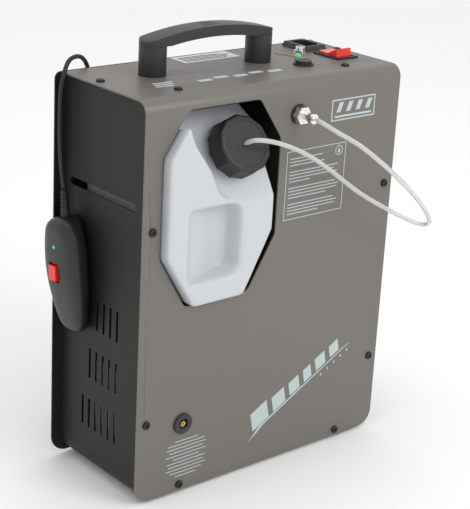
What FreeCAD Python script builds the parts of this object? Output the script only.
"""Upright fog machine: folded sheet casing, clip-in fluid bottle, heater, pump and wired handset.

Millimetres. +X is right and -Y is forward, seen from the front; +Z is up. Shapes are drawn with
z = 0 at the lower edge of the front cover and are lifted by FOOT_GAP when they are saved, so that
the rubber feet stand on z = 0.
"""
import FreeCAD
import Part
import math
import os
from FreeCAD import Vector

# ---------------------------------------------------------------- driving dimensions
CASE_H = 350.0            # height of the front cover
CASE_W = 280.0            # width of the front cover and of the top panel
FRONT_Y = -59.0           # outer face of the front cover
REAR_Y = 59.0             # face that the rear plate closes
FOOT_GAP = 3.0            # lower edge of the covers above the floor
COVER_T = 1.5             # front cover, top panel and rear plate
BODY_T = 1.2              # side and bottom sheet
BEND_R = 11.0             # bend between the front and the top of the front cover
SEAM_Y = -30.3            # rear edge of the front cover's top flange
COVER_CORNER_R = 15.0
BODY_HALF_W = 136.0
BODY_BOTTOM_Z = 0.6
BODY_CORNER_R = 16.0
REAR_HALF_W = 145.6
REAR_CORNER_R = 16.0
REAR_TOP_R = 6.0
TOP_UNDER_Z = CASE_H - COVER_T
INNER_FLOOR_Z = BODY_BOTTOM_Z + BODY_T
FLANGE_W = 14.0           # inward flanges of the body sheet

SIDE_SCREW_X, SIDE_SCREW_Z = 130.5, (72.6, 242.9)
LOW_SCREW_X, LOW_SCREW_Z = 92.8, 5.6
FLANGE_SCREW_X, FLANGE_SCREW_Y = 92.3, -36.5
PANEL_SCREW_X, PANEL_SCREW_Y = 131.5, 15.0
SCREW_SHANK_R, SCREW_HEAD_R, SCREW_HEAD_H = 1.7, 3.6, 2.2

WINDOW = (-122.5, 1.5, 171.0, 339.0)      # x from, x to, z from, z to
WINDOW_CUT_TOP, WINDOW_CUT_LOW = (25.0, 36.0), (28.0, 47.0)
BOTTLE = (-120.5, -9.5, 172.3, 337.2)
BOTTLE_FRONT_Y, BOTTLE_REAR_Y = -68.0, 49.0
BOTTLE_ROUND = 11.0
BOTTLE_WALL = 1.6

NECK_TILT = math.radians(30.7)            # neck axis above the horizontal
NECK_FOOT = Vector(-43.6, -46.2, 294.3)
NECK_AXIS = Vector(0, -math.cos(NECK_TILT), math.sin(NECK_TILT))
NECK_R, NECK_BORE_R, NECK_LENGTH = 19.4, 17.4, 19.0
# outline of the shoulder recess round the neck, across the neck axis: x and distance up the slope
SHOULDER = [(-112.0, 40.0), (-103.0, 20.4), (-95.0, 4.1), (-78.0, -15.7), (-69.5, -32.0), (-56.0, -42.3),
            (-42.0, -47.5), (-20.0, -50.0), (12.0, -50.0), (12.0, 75.0), (-112.0, 75.0)]
CAP_GAP, CAP_HEIGHT, CAP_R, CAP_FACETS = 4.5, 19.0, 25.5, 12
CAP_HOLE_R = 2.6

FITTING_X, FITTING_Z = 19.5, 321.0
NOZZLE_X, NOZZLE_Z = -91.8, 63.9
HOSE_R, HOSE_BORE_R = 2.0, 1.25

HANDLE_X, HANDLE_Y, HANDLE_SPAN = -23.0, 14.0, 115.0
POST_R, POST_HEIGHT = 11.7, 25.0
GRIP_RISE, GRIP_THICK, GRIP_HALF_DEPTH = 37.8, 9.0, 10.6

ROCKER = Vector(113.2, -2.5, 346.8)       # pivot of the power rocker
ROCKER_TILT = 13.0
INLET_X, INLET_Y = 110.5, 36.5
FUSE_X, FUSE_Y = 61.5, -16.0
LED_X, LED_Y = 71.5, 2.5
JACK_X, JACK_Y = 91.2, 21.0

REMOTE_Y, REMOTE_Z = 34.5, 182.0          # centre of the handset on the left side
REMOTE_LEAN = math.radians(5.0)           # its top end leans to the rear
REMOTE_BACK_X = -138.4
REMOTE_SPLIT_X = -147.0
REMOTE_FRONT_X = -160.0
BUTTON_Y, BUTTON_Z = 37.2, 184.0
REMOTE_LED_Z = 207.0
CORD_R = 1.9
COIL = Vector(-62.0, 102.0, 0)            # centre of the coiled spare cord, behind the machine
COIL_MEAN_R, COIL_HALF_W, COIL_HEIGHT = 22.0, 7.6, 15.4
FLOOR_Z = -FOOT_GAP
SOCKET_X, SOCKET_Z = -18.0, 62.0          # rear socket of the handset

# routes of the hose and of the handset cord: points of a polyline whose corners become arcs
HOSE_ROUTE = [
    (19.5, -82.0, 321.0), (21.0, -91.5, 318.6), (30.4, -100.0, 311.6),
    (39.8, -109.3, 305.3), (50.9, -117.3, 295.9), (69.4, -123.2, 280.2),
    (89.2, -125.4, 263.7), (110.8, -123.3, 244.9), (125.8, -119.0, 230.9),
    (137.9, -112.0, 219.7), (145.5, -103.1, 213.5), (142.9, -95.9, 211.7),
    (128.9, -90.9, 218.1), (108.1, -88.5, 229.2), (85.3, -86.8, 242.2),
    (66.8, -85.7, 253.8), (48.6, -84.5, 267.3), (30.8, -83.5, 280.2),
    (13.8, -82.1, 291.0), (-3.0, -81.2, 299.6), (-19.1, -80.3, 306.0),
    (-33.8, -78.9, 310.3), (-43.6, -73.9, 310.7), (-43.6, -66.0, 306.0),
]
CORD_ROUTE = [
    (-147.5, 41.8, 254.0), (-147.2, 44.0, 262.0), (-146.6, 48.0, 276.0), (-146.2, 50.5, 296.0),
    (-146.0, 51.0, 318.0), (-145.8, 50.6, 336.0), (-143.0, 50.5, 350.0), (-136.5, 54.5, 359.0),
    (-127.0, 59.5, 361.0), (-116.0, 64.5, 359.0), (-107.5, 68.0, 350.0), (-103.5, 69.0, 333.0),
    (-101.5, 68.0, 303.0), (-102.0, 67.0, 258.0), (-100.0, 68.0, 200.0), (-101.0, 67.5, 142.0),
    (-99.5, 68.0, 92.0), (-101.0, 69.0, 56.0), (-103.0, 73.0, 34.0), (-106.0, 82.0, 18.0),
    (-107.0, 93.0, 9.0), (-102.0, 100.5, 5.5), (-91.7, 102.0, 4.7),
]
TAIL_ROUTE = [
    (SOCKET_X, 109.0, 62.0), (-18.0, 118.5, 61.0), (-17.0, 128.0, 53.5), (-15.5, 132.5, 40.0),
    (-14.0, 130.5, 26.0), (-14.5, 123.0, 14.5), (-18.5, 113.5, 7.5), (-25.0, 106.5, 5.0),
    (-32.3, 103.5, 4.7),
]

PARTS = {}


# ---------------------------------------------------------------- small shape helpers
def box(x0, x1, y0, y1, z0, z1):
    return Part.makeBox(x1 - x0, y1 - y0, z1 - z0, Vector(x0, y0, z0))


def rod(base, direction, radius, length):
    return Part.makeCylinder(radius, length, Vector(*base), Vector(*direction))


def tube(base, direction, radius, bore, length):
    return rod(base, direction, radius, length).cut(rod(base, direction, bore, length))


def hex_prism(base, direction, flats, length):
    """Hexagonal bar of the given width across its flats."""
    corner = flats / math.sqrt(3)
    turn = FreeCAD.Rotation(Vector(0, 0, 1), Vector(*direction))
    corners = [Vector(corner * math.cos(math.radians(60 * k)), corner * math.sin(math.radians(60 * k)), 0)
               for k in range(7)]
    ring = Part.makePolygon([Vector(*base) + turn.multVec(c) for c in corners])
    return Part.Face(ring).extrude(Vector(*direction).normalize() * length)


def rounded_loop(points, radii):
    """Closed wire through the corner points, each corner rounded by its radius."""
    edges, starts, ends = [], [], []
    count = len(points)
    for k, corner in enumerate(points):
        before = (points[k - 1] - corner).normalize()
        after = (points[(k + 1) % count] - corner).normalize()
        half = before.getAngle(after) / 2
        reach = radii[k] / math.tan(half)
        middle = (before + after).normalize()
        near = corner + middle * (radii[k] / math.sin(half) - radii[k])
        starts.append(corner + before * reach)
        ends.append(corner + after * reach)
        edges.append(Part.Arc(starts[k], near, ends[k]).toShape())
    wire = []
    for k in range(count):
        wire.append(edges[k])
        run_end = starts[(k + 1) % count]
        if (run_end - ends[k]).Length > 1e-6:
            wire.append(Part.LineSegment(ends[k], run_end).toShape())
    return Part.Wire(Part.__sortEdges__(wire))


def xz_prism(points, radii, y0, y1):
    """Prism along Y of a rounded outline given as (x, z) corners."""
    loop = rounded_loop([Vector(x, y0, z) for x, z in points], radii)
    return Part.Face(loop).extrude(Vector(0, y1 - y0, 0))


def cut_corner_outline(frame, top_cut, low_cut, inset=0.0):
    """Corners of a rectangle whose four corners are cut off, as (x, z)."""
    x0, x1, z0, z1 = frame[0] + inset, frame[1] - inset, frame[2] + inset, frame[3] - inset
    (tx, tz), (lx, lz) = top_cut, low_cut
    return [(x0 + lx, z0), (x1 - lx, z0), (x1, z0 + lz), (x1, z1 - tz),
            (x1 - tx, z1), (x0 + tx, z1), (x0, z1 - tz), (x0, z0 + lz)]


def bent_path(points, name=""):
    """Wire of straight runs joined by tangent arcs, and the arcs' radii."""
    nodes = [Vector(*p) for p in points]
    edges, radii, last = [], [], nodes[0]
    for a, b, c in zip(nodes, nodes[1:], nodes[2:]):
        back, ahead = (a - b), (c - b)
        run = min(back.Length, ahead.Length)
        back.normalize()
        ahead.normalize()
        turn = math.pi - back.getAngle(ahead)
        reach = 0.45 * run
        radii.append(reach / math.tan(turn / 2))
        start, end = b + back * reach, b + ahead * reach
        middle = (back + ahead).normalize()
        sagitta = radii[-1] / math.cos(turn / 2) - radii[-1]
        edges.append(Part.LineSegment(last, start).toShape())
        edges.append(Part.Arc(start, b + middle * sagitta, end).toShape())
        last = end
    edges.append(Part.LineSegment(last, nodes[-1]).toShape())
    if name:
        print("%s: radii %s" % (name, " ".join("%.0f" % r for r in radii)))
    return Part.Wire(edges)


def bent_tube(points, radius, bore=0.0, name=""):
    """Round bar or tube along a bent path."""
    path = bent_path(points, name)
    start = Vector(*points[0])
    heading = (Vector(*points[1]) - start).normalize()

    def sweep(r):
        ring = Part.Wire(Part.makeCircle(r, start, heading))
        return path.makePipeShell([ring], True, False)

    solid = sweep(radius)
    if bore:
        solid = solid.cut(sweep(bore))
    area = math.pi * (radius ** 2 - bore ** 2)
    if name:
        print("%s: length %.0f, volume / (section x length) %.4f"
              % (name, path.Length, solid.Volume / (area * path.Length)))
    return solid


def group(shapes):
    """Separate identical pieces that share one node."""
    return Part.makeCompound(shapes)


def add(name, shape):
    PARTS[name] = shape


def pan_screw(base, direction, shank=6.0):
    """Cross-recessed pan-head screw: base is under the head, direction points out of the head."""
    out = Vector(*direction).normalize()
    start = Vector(*base)
    head = Part.makeCylinder(SCREW_HEAD_R, SCREW_HEAD_H, start, out)
    head = head.makeFillet(1.2, [e for e in head.Edges if abs((e.CenterOfMass - start).dot(out)
                                                            - SCREW_HEAD_H) < 0.01])
    side = Vector(1, 0, 0) if abs(out.x) < 0.5 else Vector(0, 1, 0)
    other = out.cross(side)
    for a, b in ((side, other), (other, side)):
        corner = start + out * (SCREW_HEAD_H - 1.0) - a * 1.9 - b * 0.4
        slot = Part.Face(Part.makePolygon([corner, corner + a * 3.8, corner + a * 3.8 + b * 0.8,
                                           corner + b * 0.8, corner])).extrude(out * 2)
        head = head.cut(slot)
    return head.fuse(Part.makeCylinder(SCREW_SHANK_R, shank, start, out * -1))


# ---------------------------------------------------------------- casing
def front_screw_places():
    sides = [(s * SIDE_SCREW_X, z) for z in SIDE_SCREW_Z for s in (-1, 1)]
    return sides + [(s * LOW_SCREW_X, LOW_SCREW_Z) for s in (-1, 1)]


def side_profile(front, top, bend, x0, x1):
    """Slab along X whose upper front edge follows the cover's bend."""
    low, back = BODY_BOTTOM_Z - 5, REAR_Y + 5
    points = [Vector(x0, front, low), Vector(x0, front, top), Vector(x0, back, top), Vector(x0, back, low)]
    return Part.Face(rounded_loop(points, [0.01, bend, 0.01, 0.01])).extrude(Vector(x1 - x0, 0, 0))


def front_cover():
    half = CASE_W / 2
    outer = side_profile(FRONT_Y, CASE_H, BEND_R, -half, half)
    inner = side_profile(FRONT_Y + COVER_T, TOP_UNDER_Z, BEND_R - COVER_T, -half - 1, half + 1)
    sheet = outer.cut(inner)
    sheet = sheet.common(box(-half, half, FRONT_Y, SEAM_Y, 0, CASE_H))
    outline = [(-half, 0), (half, 0), (half, CASE_H + 40), (-half, CASE_H + 40)]
    sheet = sheet.common(xz_prism(outline, [COVER_CORNER_R, COVER_CORNER_R, 1, 1], FRONT_Y - 1, SEAM_Y + 1))
    window = cut_corner_outline(WINDOW, WINDOW_CUT_TOP, WINDOW_CUT_LOW)
    sheet = sheet.cut(xz_prism(window, [8.0] * 8, FRONT_Y - 1, FRONT_Y + COVER_T + 0.5))
    sheet = sheet.cut(rod((NOZZLE_X, FRONT_Y - 1, NOZZLE_Z), (0, 1, 0), 7.4, 4))
    sheet = sheet.cut(rod((FITTING_X, FRONT_Y - 1, FITTING_Z), (0, 1, 0), 5.1, 4))
    for x, z in front_screw_places():
        sheet = sheet.cut(rod((x, FRONT_Y - 1, z), (0, 1, 0), SCREW_SHANK_R + 0.1, 4))
    for side in (-1, 1):
        hole = rod((side * FLANGE_SCREW_X, FLANGE_SCREW_Y, TOP_UNDER_Z - 1), (0, 0, 1), SCREW_SHANK_R + 0.1, 4)
        sheet = sheet.cut(hole)
    return sheet


def u_slab(half, bottom, corner, y0, y1, top=TOP_UNDER_Z - 0.1):
    outline = [(-half, bottom), (half, bottom), (half, top), (-half, top)]
    return xz_prism(outline, [corner, corner, 0.01, 0.01], y0, y1)


def side_vents(side):
    """Three rows of upright slots, aligned at the front and one longer towards the rear each row."""
    slots, width = [], 3.0
    for row, count in enumerate((4, 5, 6)):
        z0 = 135.8 - 47.3 * row
        for k in range(count):
            y = -22.2 + 9.55 * k
            x0 = side * (BODY_HALF_W + 1) if side < 0 else BODY_HALF_W - 3
            slots.append(box(x0, x0 + 4, y - width / 2, y + width / 2, z0 + 1.5, z0 + 26.5))
            for z in (z0 + 1.5, z0 + 26.5):
                slots.append(rod((x0, y, z), (1, 0, 0), width / 2, 4))
    return slots


def body_shell():
    """Bottom and both sides in one sheet, with inward flanges at the front and at the rear."""
    y0, y1 = FRONT_Y + COVER_T + 0.1, REAR_Y - 0.1
    inner_half, inner_bottom = BODY_HALF_W - BODY_T, BODY_BOTTOM_Z + BODY_T
    sheet = u_slab(BODY_HALF_W, BODY_BOTTOM_Z, BODY_CORNER_R, y0, y1)
    sheet = sheet.cut(u_slab(inner_half, inner_bottom, BODY_CORNER_R - BODY_T, y0 - 1, y1 + 1, CASE_H))
    for edge in (y0, y1 - BODY_T):
        flange = u_slab(BODY_HALF_W - 0.4, BODY_BOTTOM_Z + 0.4, BODY_CORNER_R - 0.4, edge, edge + BODY_T)
        hollow = u_slab(BODY_HALF_W - FLANGE_W, BODY_BOTTOM_Z + FLANGE_W, 6, edge - 1, edge + 2, CASE_H)
        sheet = sheet.fuse(flange.cut(hollow))
    top_bend = side_profile(y0, TOP_UNDER_Z - 0.1, BEND_R - COVER_T - 0.1, -CASE_W, CASE_W)
    sheet = sheet.common(top_bend)
    for tab in panel_tabs():
        sheet = sheet.fuse(tab)
    for x, z in front_screw_places():
        sheet = sheet.cut(rod((x, y0 - 1, z), (0, 1, 0), SCREW_SHANK_R, 4))
    for x, z in rear_screw_places():
        sheet = sheet.cut(rod((x, y1 - 3, z), (0, 1, 0), SCREW_SHANK_R, 4))
    slot_y, slot_z, slot_r = (-40.4, 46.2), 259.2, 3.4
    x0 = -BODY_HALF_W - 1
    slot = [box(x0, x0 + 4, slot_y[0], slot_y[1], slot_z - slot_r, slot_z + slot_r)]
    slot += [rod((x0, y, slot_z), (1, 0, 0), slot_r, 4) for y in slot_y]
    for cutter in slot + side_vents(-1) + side_vents(1):
        sheet = sheet.cut(cutter)
    return sheet.removeSplitter()


def rear_plate():
    outline = [(-REAR_HALF_W, 0), (REAR_HALF_W, 0), (REAR_HALF_W, CASE_H), (-REAR_HALF_W, CASE_H)]
    radii = [REAR_CORNER_R, REAR_CORNER_R, REAR_TOP_R, REAR_TOP_R]
    plate = xz_prism(outline, radii, REAR_Y, REAR_Y + COVER_T)
    plate = plate.cut(rod((SOCKET_X, REAR_Y - 1, SOCKET_Z), (0, 1, 0), 8.2, 5))
    for x, z in rear_screw_places():
        plate = plate.cut(rod((x, REAR_Y - 1, z), (0, 1, 0), SCREW_SHANK_R + 0.1, 4))
    return plate


def rear_screw_places():
    return [(s * SIDE_SCREW_X, z) for z in (30.0, 175.0, 320.0) for s in (-1, 1)]


def top_panel():
    half = CASE_W / 2
    lip_z = TOP_UNDER_Z - COVER_T
    panel = box(-half, half, SEAM_Y + 0.4, REAR_Y - 0.1, TOP_UNDER_Z, CASE_H)
    panel = panel.fuse(box(-half + 8, half - 8, SEAM_Y - 11, SEAM_Y + 4, lip_z, TOP_UNDER_Z))
    cutters = [
        box(ROCKER.x - 10.3, ROCKER.x + 10.3, ROCKER.y - 14.9, ROCKER.y + 14.9, 340, 360),
        box(INLET_X - 10.6, INLET_X + 10.6, INLET_Y - 14.6, INLET_Y + 14.6, 340, 360),
        rod((FUSE_X, FUSE_Y, 340), (0, 0, 1), 6.1, 20),
        rod((LED_X, LED_Y, 340), (0, 0, 1), 3.1, 20),
        rod((JACK_X, JACK_Y, 340), (0, 0, 1), 4.3, 20),
    ]
    for side in (-1, 1):
        cutters.append(rod((side * FLANGE_SCREW_X, FLANGE_SCREW_Y, 340), (0, 0, 1), SCREW_SHANK_R, 20))
        cutters.append(rod((side * PANEL_SCREW_X, PANEL_SCREW_Y, 340), (0, 0, 1), SCREW_SHANK_R + 0.1, 20))
        cutters.append(rod((HANDLE_X + side * HANDLE_SPAN / 2, HANDLE_Y, 340), (0, 0, 1), 2.6, 20))
    for cutter in cutters:
        panel = panel.cut(cutter)
    return panel


def panel_tabs():
    """Bent tabs of the side sheet that take the top panel's side screws."""
    tabs = []
    for side in (-1, 1):
        x0, x1 = sorted((side * (BODY_HALF_W - 0.6), side * (BODY_HALF_W - 12)))
        wall0, wall1 = sorted((side * (BODY_HALF_W - 0.6), side * (BODY_HALF_W - 2 * BODY_T)))
        tab = box(x0, x1, PANEL_SCREW_Y - 9, PANEL_SCREW_Y + 9, TOP_UNDER_Z - 1.7, TOP_UNDER_Z - 0.1)
        tab = tab.fuse(box(wall0, wall1, PANEL_SCREW_Y - 9, PANEL_SCREW_Y + 9, TOP_UNDER_Z - 16, TOP_UNDER_Z - 0.1))
        tabs.append(tab.cut(rod((side * PANEL_SCREW_X, PANEL_SCREW_Y, 330), (0, 0, 1), SCREW_SHANK_R, 30)))
    return tabs


def case_screws():
    screws = [pan_screw((x, FRONT_Y, z), (0, -1, 0)) for x, z in front_screw_places()]
    screws += [pan_screw((x, REAR_Y + COVER_T, z), (0, 1, 0)) for x, z in rear_screw_places()]
    for side in (-1, 1):
        screws.append(pan_screw((side * FLANGE_SCREW_X, FLANGE_SCREW_Y, CASE_H), (0, 0, 1)))
        screws.append(pan_screw((side * PANEL_SCREW_X, PANEL_SCREW_Y, CASE_H), (0, 0, 1)))
    return group(screws)


def rubber_feet():
    places = [(x, y) for x in (-104.0, 104.0) for y in (-36.0, 38.0)] + [(0.0, 0.0)]
    height = FOOT_GAP + BODY_BOTTOM_Z
    return group([Part.makeCone(8.0, 9.0, height, Vector(x, y, FLOOR_Z), Vector(0, 0, 1)) for x, y in places])


def build_casing():
    add("front_cover", front_cover())
    add("body_shell", body_shell())
    add("rear_plate", rear_plate())
    add("top_panel", top_panel())
    add("case_screws", case_screws())
    add("rubber_feet", rubber_feet())


# ---------------------------------------------------------------- carry handle
def build_handle():
    ends = [HANDLE_X - HANDLE_SPAN / 2, HANDLE_X + HANDLE_SPAN / 2]
    posts, screws = [], []
    for x in ends:
        post = rod((x, HANDLE_Y, CASE_H), (0, 0, 1), POST_R, POST_HEIGHT)
        post = post.cut(rod((x, HANDLE_Y, CASE_H - 1), (0, 0, 1), 2.5, 15))
        posts.append(post)
        bolt = rod((x, HANDLE_Y, TOP_UNDER_Z - 0.0), (0, 0, 1), 2.4, 14)
        screws.append(bolt.fuse(hex_prism((x, HANDLE_Y, TOP_UNDER_Z - 4), (0, 0, 1), 8.0, 4)))
    add("handle_posts", group(posts))
    add("handle_bolts", group(screws))
    y0 = HANDLE_Y - GRIP_HALF_DEPTH
    x0, x1 = ends[0] - POST_R, ends[1] + POST_R
    z0 = CASE_H + POST_HEIGHT
    inner0, inner1 = ends[0] + POST_R, ends[1] - POST_R
    p = [Vector(x0, y0, z0), Vector(x0, y0, z0 + 4.2), Vector(HANDLE_X, y0, CASE_H + GRIP_RISE),
         Vector(x1, y0, z0 + 4.2), Vector(x1, y0, z0), Vector(inner1, y0, z0),
         Vector(HANDLE_X, y0, CASE_H + GRIP_RISE - GRIP_THICK), Vector(inner0, y0, z0)]
    loop = [Part.LineSegment(p[0], p[1]).toShape(), Part.Arc(p[1], p[2], p[3]).toShape(),
            Part.LineSegment(p[3], p[4]).toShape(), Part.LineSegment(p[4], p[5]).toShape(),
            Part.Arc(p[5], p[6], p[7]).toShape(), Part.LineSegment(p[7], p[0]).toShape()]
    grip = Part.Face(Part.Wire(loop)).extrude(Vector(0, 2 * GRIP_HALF_DEPTH, 0))
    keep = Part.makeCompound([rod((x, HANDLE_Y, z0 - 1), (0, 0, 1), POST_R, 30) for x in ends])
    bar = box(ends[0], ends[1], y0 - 1, y0 + 2 * GRIP_HALF_DEPTH + 1, z0 - 1, z0 + 30)
    grip = grip.common(bar.fuse(keep.Solids))
    for dx in (-6.0, -2.0, 2.0, 6.0):
        grip = grip.cut(box(HANDLE_X + dx - 0.6, HANDLE_X + dx + 0.6, y0 + 4, y0 + 2 * GRIP_HALF_DEPTH - 4,
                            CASE_H + GRIP_RISE - 0.9, CASE_H + 50))
    add("handle_grip", grip.removeSplitter())


# ---------------------------------------------------------------- fluid bottle
def neck_point(distance, radial=0.0):
    """Point at a distance along the neck axis from the neck's foot."""
    upward = Vector(0, math.sin(NECK_TILT), math.cos(NECK_TILT))
    return NECK_FOOT + NECK_AXIS * distance + upward * radial


def bottle_block(inset):
    """The bottle's closed outer form, or with an inset the form of its inner wall."""
    x0, x1, z0, z1 = BOTTLE[0] + inset, BOTTLE[1] - inset, BOTTLE[2] + inset, BOTTLE[3] - inset
    outline = [(x0 + 29, z0), (x1 - 28.5, z0), (x1, z0 + 54), (x1, z1 - 22),
               (x1 - 15, z1), (x0 + 25, z1), (x0, z1 - 36), (x0, z0 + 46)]
    y0, y1 = BOTTLE_FRONT_Y + inset, BOTTLE_REAR_Y - inset
    block = xz_prism(outline, [12.0 - inset] * 8, y0, y1)
    rims = [e for e in block.Edges if min(abs(e.BoundBox.YMin - y0) + abs(e.BoundBox.YMax - y0),
                                          abs(e.BoundBox.YMin - y1) + abs(e.BoundBox.YMax - y1)) < 0.01]
    block = block.makeFillet(BOTTLE_ROUND - inset, rims)
    corners = [neck_point(-inset, v - 1.2 * inset) + Vector(x - NECK_FOOT.x - 1.2 * inset, 0, 0) for x, v in SHOULDER]
    recess = Part.Face(Part.makePolygon(corners + corners[:1])).extrude(NECK_AXIS * 90)
    block = block.cut(recess)
    z0, z1 = 195.0 - inset, 255.0 + inset
    deep = [Vector(-105 - inset, y0 - 3, z0), Vector(-46 + inset, y0 - 3, z0),
            Vector(-46 + inset, BOTTLE_FRONT_Y + 20 + inset, z0),
            Vector(-54, BOTTLE_FRONT_Y + 21 + inset, z0), Vector(-105 - inset, y0, z0)]
    pocket = Part.Face(Part.makePolygon(deep + deep[:1])).extrude(Vector(0, 0, z1 - z0))
    return block.cut(pocket)


def bottle():
    neck = Part.makeCylinder(NECK_R, NECK_LENGTH + 3, neck_point(-3), NECK_AXIS)
    bore = Part.makeCylinder(NECK_BORE_R, NECK_LENGTH + 12, neck_point(-10), NECK_AXIS)
    shell = bottle_block(0.0).fuse(neck).cut(bottle_block(BOTTLE_WALL)).cut(bore)
    return shell.removeSplitter()


def bottle_cap():
    """Screw cap with flat facets round its skirt and a hole for the hose."""
    base = neck_point(CAP_GAP)
    cap = Part.makeCylinder(CAP_R, CAP_HEIGHT, base, NECK_AXIS)
    side = Vector(1, 0, 0)
    other = NECK_AXIS.cross(side)
    for k in range(CAP_FACETS):
        angle = 2 * math.pi * k / CAP_FACETS
        ray = side * math.cos(angle) + other * math.sin(angle)
        flute = Part.makeCylinder(9.0, CAP_HEIGHT - 3, base + ray * (CAP_R + 8.2) + NECK_AXIS * -1.0, NECK_AXIS)
        cap = cap.cut(flute)
    cap = cap.cut(Part.makeCylinder(NECK_R + 0.4, CAP_HEIGHT - 2.6, base + NECK_AXIS * -0.5, NECK_AXIS))
    return cap.cut(Part.makeCylinder(CAP_HOLE_R, CAP_HEIGHT, base + NECK_AXIS * 5, NECK_AXIS))


def build_bottle():
    add("bottle", bottle())
    add("bottle_cap", bottle_cap())
    seal_at = NECK_LENGTH + 0.1
    seal = Part.makeCylinder(NECK_R - 0.2, 1.1, neck_point(seal_at), NECK_AXIS)
    add("cap_seal", seal.cut(Part.makeCylinder(12.0, 3, neck_point(seal_at - 1), NECK_AXIS)))
    top = neck_point(CAP_GAP + CAP_HEIGHT - 0.7)
    inner = neck_point(-6)
    route = [tuple(top), tuple(inner), (-45.0, -24.0, 276.0), (-50.0, -6.0, 250.0), (-53.0, 6.0, 224.0),
             (-54.0, 10.0, 200.0)]
    add("suction_tube", bent_tube(route, HOSE_R, HOSE_BORE_R, "suction_tube"))
    last, before = Vector(*route[-1]), Vector(*route[-2])
    heading = (last - before).normalize()
    sinker = Part.makeCylinder(5.5, 14, last + heading * 0.1, heading)
    add("suction_filter", sinker.cut(Part.makeCylinder(1.2, 11, last, heading)))


def tank_bay():
    """Folded tray round the bottle: floor, right wall, back and roof."""
    x0, x1, z0, z1 = -133.0, 6.0, 170.9, 339.0
    y0, y1, t = FRONT_Y + COVER_T, 52.0, BODY_T
    tray = box(x0, x1, y0, y1, z0, z1).cut(box(x0 - 1, x1 - t, y0 - 1, y1 - t, z0 + t, z1 - t))
    tray = tray.cut(box(x0 - 1, -118.0, y0 - 1, y0 + 3, z0 - 1, z1 + 1))
    return tray


# ---------------------------------------------------------------- hose, fitting and nozzle
def build_fluid_line():
    at = (FITTING_X, FITTING_Z)
    washer = tube((at[0], FRONT_Y - 1.2, at[1]), (0, 1, 0), 8.6, 5.1, 1.2)
    add("fitting_washer", washer)
    body = hex_prism((at[0], FRONT_Y - 7.6, at[1]), (0, 1, 0), 14.0, 6.4)
    body = body.fuse(rod((at[0], FRONT_Y - 8, at[1]), (0, 1, 0), 5.0, 22))
    body = body.fuse(rod((at[0], FRONT_Y - 15, at[1]), (0, 1, 0), 3.4, 8))
    body = body.fuse(rod((at[0], FRONT_Y - 20, at[1]), (0, 1, 0), 4.4, 5.5))
    body = body.fuse(rod((at[0], FRONT_Y - 24, at[1]), (0, 1, 0), 1.2, 10))
    body = body.fuse(rod((at[0], FRONT_Y + 13, at[1]), (0, 1, 0), 1.2, 8))
    body = body.cut(rod((at[0], FRONT_Y - 30, at[1]), (0, 1, 0), 0.7, 60))
    add("hose_fitting", body)
    add("fitting_nut", hex_prism((at[0], FRONT_Y + COVER_T, at[1]), (0, 1, 0), 14.0, 4.0)
        .cut(rod((at[0], FRONT_Y - 5, at[1]), (0, 1, 0), 5.0, 30)))
    add("feed_hose", bent_tube(HOSE_ROUTE, HOSE_R, HOSE_BORE_R, "feed_hose"))
    inner = [(19.5, -44.0, 321.0), (19.5, -27.0, 321.0), (22.0, -15.0, 312.0), (25.5, -10.0, 296.0),
             (27.0, -12.0, 262.0), (25.5, -15.0, 212.0), (29.0, -17.0, 172.0), (47.0, -19.0, 140.0),
             (73.0, -22.0, 122.0), (99.0, -21.0, 106.0), (119.0, -12.0, 86.0), (127.0, -1.0, 62.0),
             (126.0, 5.0, 38.0), (117.5, 6.5, 21.0), (105.5, 5.5, 15.5), (96.5, 5.0, 22.0), (95.0, 5.0, 39.8)]
    add("inner_feed_tube", bent_tube(inner, HOSE_R, HOSE_BORE_R, "inner_feed_tube"))

    collar = tube((NOZZLE_X, FRONT_Y - 2.4, NOZZLE_Z), (0, 1, 0), 9.3, 4.7, 2.3)
    collar = collar.fuse(tube((NOZZLE_X, FRONT_Y - 2.4, NOZZLE_Z), (0, 1, 0), 7.2, 4.7, 6.4))
    add("nozzle_collar", collar)
    nozzle = rod((NOZZLE_X, FRONT_Y + 2.0, NOZZLE_Z), (0, 1, 0), 4.5, 10.0)
    nozzle = nozzle.fuse(rod((NOZZLE_X, FRONT_Y - 1.6, NOZZLE_Z), (0, 1, 0), 2.3, 4.0))
    nozzle = nozzle.fuse(hex_prism((NOZZLE_X, FRONT_Y + 5.0, NOZZLE_Z), (0, 1, 0), 12.0, 6.0))
    nozzle = nozzle.cut(rod((NOZZLE_X, FRONT_Y - 4.0, NOZZLE_Z), (0, 1, 0), 0.8, 30))
    nozzle = nozzle.cut(rod((NOZZLE_X, FRONT_Y + 4.0, NOZZLE_Z), (0, 1, 0), 3.05, 30))
    add("nozzle", nozzle)


# ---------------------------------------------------------------- heater
HEATER = (-118.0, 42.0, -30.0, 28.0, 34.0, 94.0)
ELEMENT_Y, ELEMENT_R = (-6.0, 18.0), 4.0
VAPOUR_Y, VAPOUR_R = -20.0, 3.0


def element_path(radius):
    """Hairpin heating element that lies in the parting plane of the block."""
    bend = (ELEMENT_Y[1] - ELEMENT_Y[0]) / 2
    mid = (ELEMENT_Y[0] + ELEMENT_Y[1]) / 2
    x0, x1, z = -84.0, 62.0, NOZZLE_Z
    path = Part.Wire([
        Part.LineSegment(Vector(x1, ELEMENT_Y[0], z), Vector(x0, ELEMENT_Y[0], z)).toShape(),
        Part.Arc(Vector(x0, ELEMENT_Y[0], z), Vector(x0 - bend, mid, z), Vector(x0, ELEMENT_Y[1], z)).toShape(),
        Part.LineSegment(Vector(x0, ELEMENT_Y[1], z), Vector(x1, ELEMENT_Y[1], z)).toShape()])
    ring = Part.Wire(Part.makeCircle(radius, Vector(x1, ELEMENT_Y[0], z), Vector(-1, 0, 0)))
    return path.makePipeShell([ring], True, False)


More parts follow.
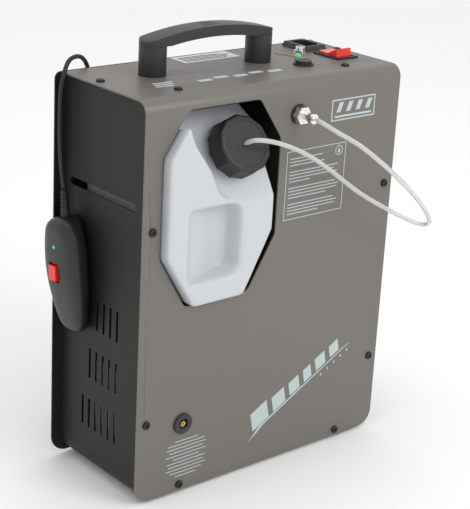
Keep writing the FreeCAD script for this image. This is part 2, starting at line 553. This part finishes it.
def vapour_path(radius):
    """Evaporator tube: along the block, then forward to the nozzle."""
    z, turn = NOZZLE_Z, 8.0
    x0, x1 = 66.0, NOZZLE_X
    middle = Vector(x1 + turn * (1 - math.sqrt(0.5)), VAPOUR_Y - turn * (1 - math.sqrt(0.5)), z)
    path = Part.Wire([
        Part.LineSegment(Vector(x0, VAPOUR_Y, z), Vector(x1 + turn, VAPOUR_Y, z)).toShape(),
        Part.Arc(Vector(x1 + turn, VAPOUR_Y, z), middle, Vector(x1, VAPOUR_Y - turn, z)).toShape(),
        Part.LineSegment(Vector(x1, VAPOUR_Y - turn, z), Vector(x1, FRONT_Y + 5.5, z)).toShape()])
    ring = Part.Wire(Part.makeCircle(radius, Vector(x0, VAPOUR_Y, z), Vector(-1, 0, 0)))
    return path.makePipeShell([ring], True, False)


def build_heater():
    x0, x1, y0, y1, z0, z1 = HEATER
    grooves = element_path(ELEMENT_R + 0.1).fuse(vapour_path(VAPOUR_R + 0.1))
    bolts_at = [(x, y) for x in (-100.0, -36.0, 30.0) for y in (-27.0 + 1.5, 25.5)]
    lower, upper = box(x0, x1, y0, y1, z0, NOZZLE_Z), box(x0, x1, y0, y1, NOZZLE_Z, z1)
    for x, y in bolts_at:
        hole = rod((x, y, z0 - 1), (0, 0, 1), 1.6, z1 - z0 + 2)
        lower, upper = lower.cut(hole), upper.cut(hole)
    add("heater_lower_half", lower.cut(grooves))
    add("heater_upper_half", upper.cut(grooves))
    bolts = [rod((x, y, z0 + 8), (0, 0, 1), 1.5, z1 - z0 - 8).fuse(hex_prism((x, y, z1), (0, 0, 1), 5.5, 2.6))
             for x, y in bolts_at]
    add("heater_bolts", group(bolts))
    add("heating_element", element_path(ELEMENT_R))
    add("vapour_tube", vapour_path(VAPOUR_R).cut(vapour_path(1.5)))
    add("thermostat", rod((0, 0, z1), (0, 0, 1), 8.0, 7.0).fuse(rod((0, 0, z1 + 7), (0, 0, 1), 4.0, 6.0)))
    wrap = box(x0 - 4, x1 + 4, y0 - 4, y1 + 4, z0 - 4, z1 + 4)
    wrap = wrap.cut(box(x0 - 0.2, x1 + 0.2, y0 - 0.2, y1 + 0.2, z0 - 0.2, z1 + 0.2))
    wrap = wrap.cut(rod((x1 - 1, VAPOUR_Y, NOZZLE_Z), (1, 0, 0), 5.0, 10))
    for y in ELEMENT_Y:
        wrap = wrap.cut(rod((x1 - 1, y, NOZZLE_Z), (1, 0, 0), 5.5, 10))
    wrap = wrap.cut(rod((NOZZLE_X, y0 - 10, NOZZLE_Z), (0, 1, 0), 5.0, 12))
    wrap = wrap.cut(rod((0, 0, z1 - 1), (0, 0, 1), 9.5, 10))
    for x, y in bolts_at:
        wrap = wrap.cut(rod((x, y, z1 - 1), (0, 0, 1), 4.5, 10))
    for x in (-70.0, 8.0):
        wrap = wrap.cut(box(x - 2, x + 4, -22, 22, z0 - 10, z0 + 1))
    add("heater_insulation", wrap)
    brackets = []
    for x in (-70.0, 8.0):
        stand = box(x, x + 2, -20, 20, INNER_FLOOR_Z, z0)
        stand = stand.fuse(box(x, x + 18, -20, 20, INNER_FLOOR_Z, INNER_FLOOR_Z + 2))
        brackets.append(stand)
    add("heater_brackets", group(brackets))


# ---------------------------------------------------------------- pump
PUMP_X, PUMP_Y, PUMP_Z = 95.0, 5.0, 40.0
PUMP_SPRING_LENGTH = 12.4


def pump_spring(low_z):
    """Round-wire spring of a few turns between the plunger and the end of the core."""
    steps, radius, turns = 60, 3.7, 4.0
    points = []
    for k in range(steps + 1):
        angle = 2 * math.pi * turns * k / steps
        rise = PUMP_SPRING_LENGTH * k / steps
        points.append(Vector(PUMP_X + radius * math.cos(angle), PUMP_Y + radius * math.sin(angle), low_z + rise))
    curve = Part.BSplineCurve()
    curve.interpolate(points)
    ring = Part.Wire(Part.makeCircle(0.45, points[0], curve.tangent(curve.FirstParameter)[0]))
    return Part.Wire(curve.toShape()).makePipeShell([ring], True, True)


def build_pump():
    up, low = (0, 0, 1), PUMP_Z

    def at(z):
        return (PUMP_X, PUMP_Y, z)

    core = tube(at(low), up, 7.0, 5.2, 54).fuse(rod(at(low), up, 7.0, 4)).fuse(rod(at(low + 52), up, 7.0, 6))
    core = core.fuse(rod(at(low + 58), up, 3.6, 8))
    core = core.cut(rod(at(low - 1), up, 1.5, 8)).cut(rod(at(low + 50), up, 1.2, 20))
    add("pump_core", core)
    coil = box(PUMP_X - 16, PUMP_X + 16, PUMP_Y - 14, PUMP_Y + 14, low + 12, low + 44)
    add("pump_coil", coil.cut(rod(at(low), up, 7.1, 60)))
    yoke = box(PUMP_X - 18, PUMP_X + 18, PUMP_Y - 16, PUMP_Y + 16, low + 10, low + 46)
    yoke = yoke.cut(box(PUMP_X - 16.1, PUMP_X + 16.1, PUMP_Y - 17, PUMP_Y + 17, low + 11.9, low + 44.1))
    yoke = yoke.cut(rod(at(low), up, 7.1, 60))
    leg = box(PUMP_X - 12, PUMP_X + 12, PUMP_Y + 16, PUMP_Y + 18, INNER_FLOOR_Z, low + 46)
    foot = box(PUMP_X - 12, PUMP_X + 12, PUMP_Y + 16, PUMP_Y + 38, INNER_FLOOR_Z, INNER_FLOOR_Z + 2)
    add("pump_yoke", yoke.fuse(leg).fuse(foot).removeSplitter())
    add("pump_plunger", rod(at(low + 14), up, 4.9, 24).cut(rod(at(low + 12), up, 1.4, 30)))
    add("pump_spring", pump_spring(low + 38.6))
    route = [at(low + 66), at(low + 75), (91.5, 2.0, low + 84), (83.5, -4.0, low + 88), (77.0, -11.0, low + 82),
             (75.5, -17.0, low + 68), (79.0, -20.0, low + 52), (82.5, -20.0, low + 36), (80.5, -20.0, low + 25),
             (73.5, -20.0, NOZZLE_Z + 0.6), (66.0, VAPOUR_Y, NOZZLE_Z)]
    add("pressure_tube", bent_tube(route, 2.0, 1.1, "pressure_tube"))


# ---------------------------------------------------------------- electronics inside
def build_board():
    y0, y1 = 43.0, 44.6
    board = box(18, 118, y0, y1, 150, 290)
    corners = [(x, z) for x in (24.0, 112.0) for z in (156.0, 284.0)]
    for x, z in corners:
        board = board.cut(rod((x, y0 - 1, z), (0, 1, 0), 1.7, 4))
    add("circuit_board", board)
    pillars = [rod((x, y1, z), (0, 1, 0), 3.0, REAR_Y - y1) for x, z in corners]
    add("board_standoffs", group(pillars))
    add("transformer", box(30, 72, 12, y0, 162, 198).fuse(box(36, 66, 6, 49 - 12, 166, 194)))


# ---------------------------------------------------------------- controls on the top panel
def rocker_shape():
    """Rocker in its middle position, then tipped so that its rear end is pressed."""
    half_len, half_w = 11.6, 8.7
    profile = [(-half_len, 9.2), (0, 6.2), (half_len, 9.2), (half_len - 0.6, -1.0), (0, -7.0), (-half_len + 0.6, -1.0)]
    corners = [Vector(ROCKER.x - half_w, ROCKER.y + y, ROCKER.z + z) for y, z in profile]
    block = Part.Face(Part.makePolygon(corners + corners[:1])).extrude(Vector(2 * half_w, 0, 0))
    axle = rod((ROCKER.x - half_w - 1.0, ROCKER.y, ROCKER.z), (1, 0, 0), 1.5, 2 * half_w + 2)
    block = block.fuse(axle)
    block.rotate(ROCKER, Vector(1, 0, 0), -ROCKER_TILT)
    return block


def build_top_controls():
    x, y = ROCKER.x, ROCKER.y
    bezel = box(x - 12.2, x + 12.2, y - 16.1, y + 16.1, CASE_H, CASE_H + 1.8)
    bezel = bezel.fuse(box(x - 10.2, x + 10.2, y - 14.8, y + 14.8, 328, CASE_H))
    bezel = bezel.cut(box(x - 9.1, x + 9.1, y - 13.8, y + 13.8, 336, 360))
    bezel = bezel.cut(rod((x - 9.75, y, ROCKER.z), (1, 0, 0), 1.55, 19.5))
    add("rocker_bezel", bezel)
    add("power_rocker", rocker_shape())

    cx, cy = INLET_X, INLET_Y
    low = [Vector(cx + sx * 13, cy + sy * 16.4, CASE_H) for sx, sy in ((-1, -1), (1, -1), (1, 1), (-1, 1))]
    high = [Vector(cx + sx * 11.6, cy + sy * 15.0, CASE_H + 4.6) for sx, sy in ((-1, -1), (1, -1), (1, 1), (-1, 1))]
    flange = Part.makeLoft([Part.makePolygon(low + low[:1]), Part.makePolygon(high + high[:1])], True, True)
    inlet = flange.fuse(box(cx - 10.5, cx + 10.5, cy - 14.5, cy + 14.5, 326, CASE_H))
    recess = [(cx - 8.4, cy - 12.4), (cx + 4.0, cy - 12.4), (cx + 8.4, cy - 8.0), (cx + 8.4, cy + 8.0),
              (cx + 4.0, cy + 12.4), (cx - 8.4, cy + 12.4)]
    corners = [Vector(px, py, 334) for px, py in recess]
    inlet = inlet.cut(Part.Face(Part.makePolygon(corners + corners[:1])).extrude(Vector(0, 0, 30)))
    pins_at = [(cx - 1.6, cy - 7.0), (cx - 1.6, cy + 7.0), (cx + 2.4, cy)]
    for px, py in pins_at:
        inlet = inlet.cut(box(px - 2, px + 2, py - 1, py + 1, 320, 340))
    add("mains_inlet", inlet)
    add("inlet_pins", group([box(px - 2, px + 2, py - 1, py + 1, 316, 351) for px, py in pins_at]))

    up = (0, 0, 1)
    holder = rod((FUSE_X, FUSE_Y, CASE_H), up, 9.0, 1.5).fuse(rod((FUSE_X, FUSE_Y, 312), up, 6.0, CASE_H - 312))
    holder = holder.cut(rod((FUSE_X, FUSE_Y, 316), up, 4.6, 60))
    add("fuse_holder", holder)
    cap = rod((FUSE_X, FUSE_Y, CASE_H + 1.6), up, 7.2, 2.6).fuse(rod((FUSE_X, FUSE_Y, 340), up, 4.4, 12))
    cap = cap.cut(rod((FUSE_X, FUSE_Y, 339), up, 2.8, 7))
    cap = cap.cut(box(FUSE_X - 5.0, FUSE_X + 5.0, FUSE_Y - 0.6, FUSE_Y + 0.6, CASE_H + 3.4, CASE_H + 6))
    add("fuse_cap", cap)
    add("fuse", rod((FUSE_X, FUSE_Y, 317), up, 2.6, 22))
    lens = rod((LED_X, LED_Y, CASE_H - 6), up, 3.0, 8.2).fuse(Part.makeSphere(3.0, Vector(LED_X, LED_Y, CASE_H + 2.2)))
    add("ready_led", lens.fuse(rod((LED_X, LED_Y, TOP_UNDER_Z - 1.2), up, 4.2, 1.2)))
    jack = rod((JACK_X, JACK_Y, CASE_H - 20), up, 4.2, 25.6).fuse(rod((JACK_X, JACK_Y, CASE_H - 20), up, 6.5, 18.3))
    jack = jack.fuse(tube((JACK_X, JACK_Y, CASE_H), up, 5.8, 4.0, 0.8))
    jack = jack.fuse(hex_prism((JACK_X, JACK_Y, CASE_H + 0.8), up, 10.0, 1.8))
    add("control_jack", jack.cut(rod((JACK_X, JACK_Y, CASE_H - 16), up, 3.2, 30)))


# ---------------------------------------------------------------- wired handset
def handset_outline(x, shrink=0.0):
    """Closed egg outline of the handset in the plane of a given x."""
    half = [(0, 49.0), (14.0, 45.5), (20.5, 32.0), (22.2, 12.0), (21.4, -12.0), (18.0, -33.0), (10.5, -47.0)]
    points = half + [(0, -51.5)] + [(-y, z) for y, z in reversed(half[1:])]
    scale_y, scale_z = (22.2 - shrink) / 22.2, (51.0 - shrink) / 51.0
    curve = Part.BSplineCurve()
    curve.interpolate([Vector(x, REMOTE_Y + y * scale_y, REMOTE_Z + z * scale_z) for y, z in points], True)
    return Part.Wire(curve.toShape())


def handset_slab(x0, x1, shrink=0.0):
    return Part.Face(handset_outline(x0, shrink)).extrude(Vector(x1 - x0, 0, 0))


def face_wedge(offset=0.0):
    """Everything in front of the handset's sloping face."""
    bottom, top = REMOTE_Z - 60, REMOTE_Z + 60
    low_x, mid_x, top_x = -146.5 + offset, REMOTE_FRONT_X + offset, -156.5 + offset
    corners = [Vector(low_x, 0, bottom), Vector(mid_x + 1.5, 0, REMOTE_Z + 2), Vector(mid_x, 0, REMOTE_Z + 24),
               Vector(top_x, 0, top), Vector(-190, 0, top), Vector(-190, 0, bottom)]
    return Part.Face(Part.makePolygon(corners + corners[:1])).extrude(Vector(0, 90, 0))


def build_handset():
    back = handset_slab(REMOTE_SPLIT_X, REMOTE_BACK_X)
    back = back.makeFillet(3.0, [e for e in back.Edges if abs(e.CenterOfMass.x - REMOTE_BACK_X) < 0.01])
    back = back.cut(handset_slab(REMOTE_SPLIT_X - 1, REMOTE_BACK_X - 2.2, 2.2))
    back = back.cut(box(-142, -130, REMOTE_Y - 7, REMOTE_Y + 7, REMOTE_Z - 8, REMOTE_Z + 26))
    add("handset_back", back)
    front = handset_slab(REMOTE_FRONT_X, REMOTE_SPLIT_X - 0.05).cut(face_wedge())
    front = front.cut(handset_slab(REMOTE_FRONT_X - 5, REMOTE_SPLIT_X + 1, 2.4).cut(face_wedge(2.2)))
    front = front.cut(box(-170, -150, BUTTON_Y - 6.2, BUTTON_Y + 6.2, BUTTON_Z - 8.2, BUTTON_Z + 8.2))
    front = front.cut(rod((-170, REMOTE_Y, REMOTE_LED_Z), (1, 0, 0), 1.65, 20))
    add("handset_front", front)
    add("handset_button", box(-161.6, -153.2, BUTTON_Y - 5.0, BUTTON_Y + 5.0, BUTTON_Z - 6.6, BUTTON_Z + 6.6)
        .fuse(box(-156.6, -153.2, BUTTON_Y - 6.0, BUTTON_Y + 6.0, BUTTON_Z - 8.0, BUTTON_Z + 8.0)))
    board = box(-148.6, -147.2, REMOTE_Y - 13, REMOTE_Y + 13, REMOTE_Z - 22, REMOTE_Z + 32)
    switch = box(-151.4, -148.6, BUTTON_Y - 3, BUTTON_Y + 3, BUTTON_Z - 3, BUTTON_Z + 3)
    add("handset_board", board.fuse(switch))
    add("handset_led", rod((-160.6, REMOTE_Y, REMOTE_LED_Z), (1, 0, 0), 1.6, 11.9))
    hook = box(-137.4, -136.05, REMOTE_Y - 10, REMOTE_Y + 10, REMOTE_Z - 14, REMOTE_Z + 22)
    hook = hook.fuse(box(-140.6, -137.4, REMOTE_Y - 5, REMOTE_Y + 5, REMOTE_Z - 6, REMOTE_Z - 3))
    hook = hook.fuse(box(-141.6, -140.6, REMOTE_Y - 5, REMOTE_Y + 5, REMOTE_Z - 6, REMOTE_Z + 4))
    add("handset_hook", hook)
    for name in [n for n in PARTS if n.startswith("handset")]:
        PARTS[name].rotate(Vector(0, REMOTE_Y, REMOTE_Z), Vector(1, 0, 0), -math.degrees(REMOTE_LEAN))
    build_strain_relief()


def build_strain_relief():
    """Ribbed rubber sleeve that leads the cord out of the handset's top end."""
    reach = 50.4
    base = Vector(REMOTE_SPLIT_X - 0.3, REMOTE_Y + reach * math.sin(REMOTE_LEAN),
                  REMOTE_Z + reach * math.cos(REMOTE_LEAN))
    tip = Vector(*CORD_ROUTE[0])
    heading = (tip - base).normalize()
    for name in ("handset_front", "handset_back"):
        PARTS[name] = PARTS[name].cut(Part.makeCylinder(3.4, 16, base - heading * 9, heading))
    relief = Part.makeCone(4.0, 2.9, (tip - base).Length, base, heading)
    for k in range(5):
        start = base + heading * (7.0 + 3.3 * k)
        groove = Part.makeCylinder(6, 1.2, start, heading)
        relief = relief.cut(groove.cut(Part.makeCylinder(2.9 - 0.16 * k, 1.2, start, heading)))
    neck = Part.makeCylinder(3.3, 8, base - heading * 7.5, heading)
    add("handset_strain_relief", relief.fuse(neck))


def build_cord():
    add("handset_cord", bent_tube(CORD_ROUTE, CORD_R, 0.0, "handset_cord"))
    add("handset_cord_tail", bent_tube(TAIL_ROUTE, CORD_R, 0.0, "handset_cord_tail"))
    outer = rod((COIL.x, COIL.y, FLOOR_Z), (0, 0, 1), COIL_MEAN_R + COIL_HALF_W, COIL_HEIGHT)
    ring = outer.cut(rod((COIL.x, COIL.y, FLOOR_Z - 1), (0, 0, 1), COIL_MEAN_R - COIL_HALF_W, COIL_HEIGHT + 2))
    ring = ring.makeFillet(3.0, [e for e in ring.Edges if e.Length > 50])
    add("handset_cord_coil", ring)
    out = (0, 1, 0)
    y0 = REAR_Y + COVER_T
    socket = rod((SOCKET_X, y0 - 18, SOCKET_Z), out, 8.1, 18).fuse(rod((SOCKET_X, y0, SOCKET_Z), out, 10.5, 1.6))
    add("rear_socket", socket.cut(rod((SOCKET_X, y0 - 10, SOCKET_Z), out, 6.1, 20)))
    plug = rod((SOCKET_X, y0 - 9.5, SOCKET_Z), out, 6.0, 11.5).fuse(rod((SOCKET_X, y0 + 1.8, SOCKET_Z), out, 8.0, 20))
    plug = plug.fuse(Part.makeCone(5.0, 3.0, 109.0 - y0 - 21.8, Vector(SOCKET_X, y0 + 21.8, SOCKET_Z), Vector(*out)))
    add("cord_plug", plug)


# ---------------------------------------------------------------- build and save
def main():
    build_casing()
    build_handle()
    build_bottle()
    add("tank_bay", tank_bay())
    build_fluid_line()
    build_heater()
    build_pump()
    build_board()
    build_top_controls()
    build_handset()
    build_cord()
    os.makedirs("parts", exist_ok=True)
    for name, shape in PARTS.items():
        shape = shape.copy()
        shape.translate(Vector(0, 0, FOOT_GAP))
        if not shape.isValid() or not shape.Solids:
            print("problem in", name)
        shape.exportStep("parts/%s.step" % name)
    print(len(PARTS), "nodes")


main()
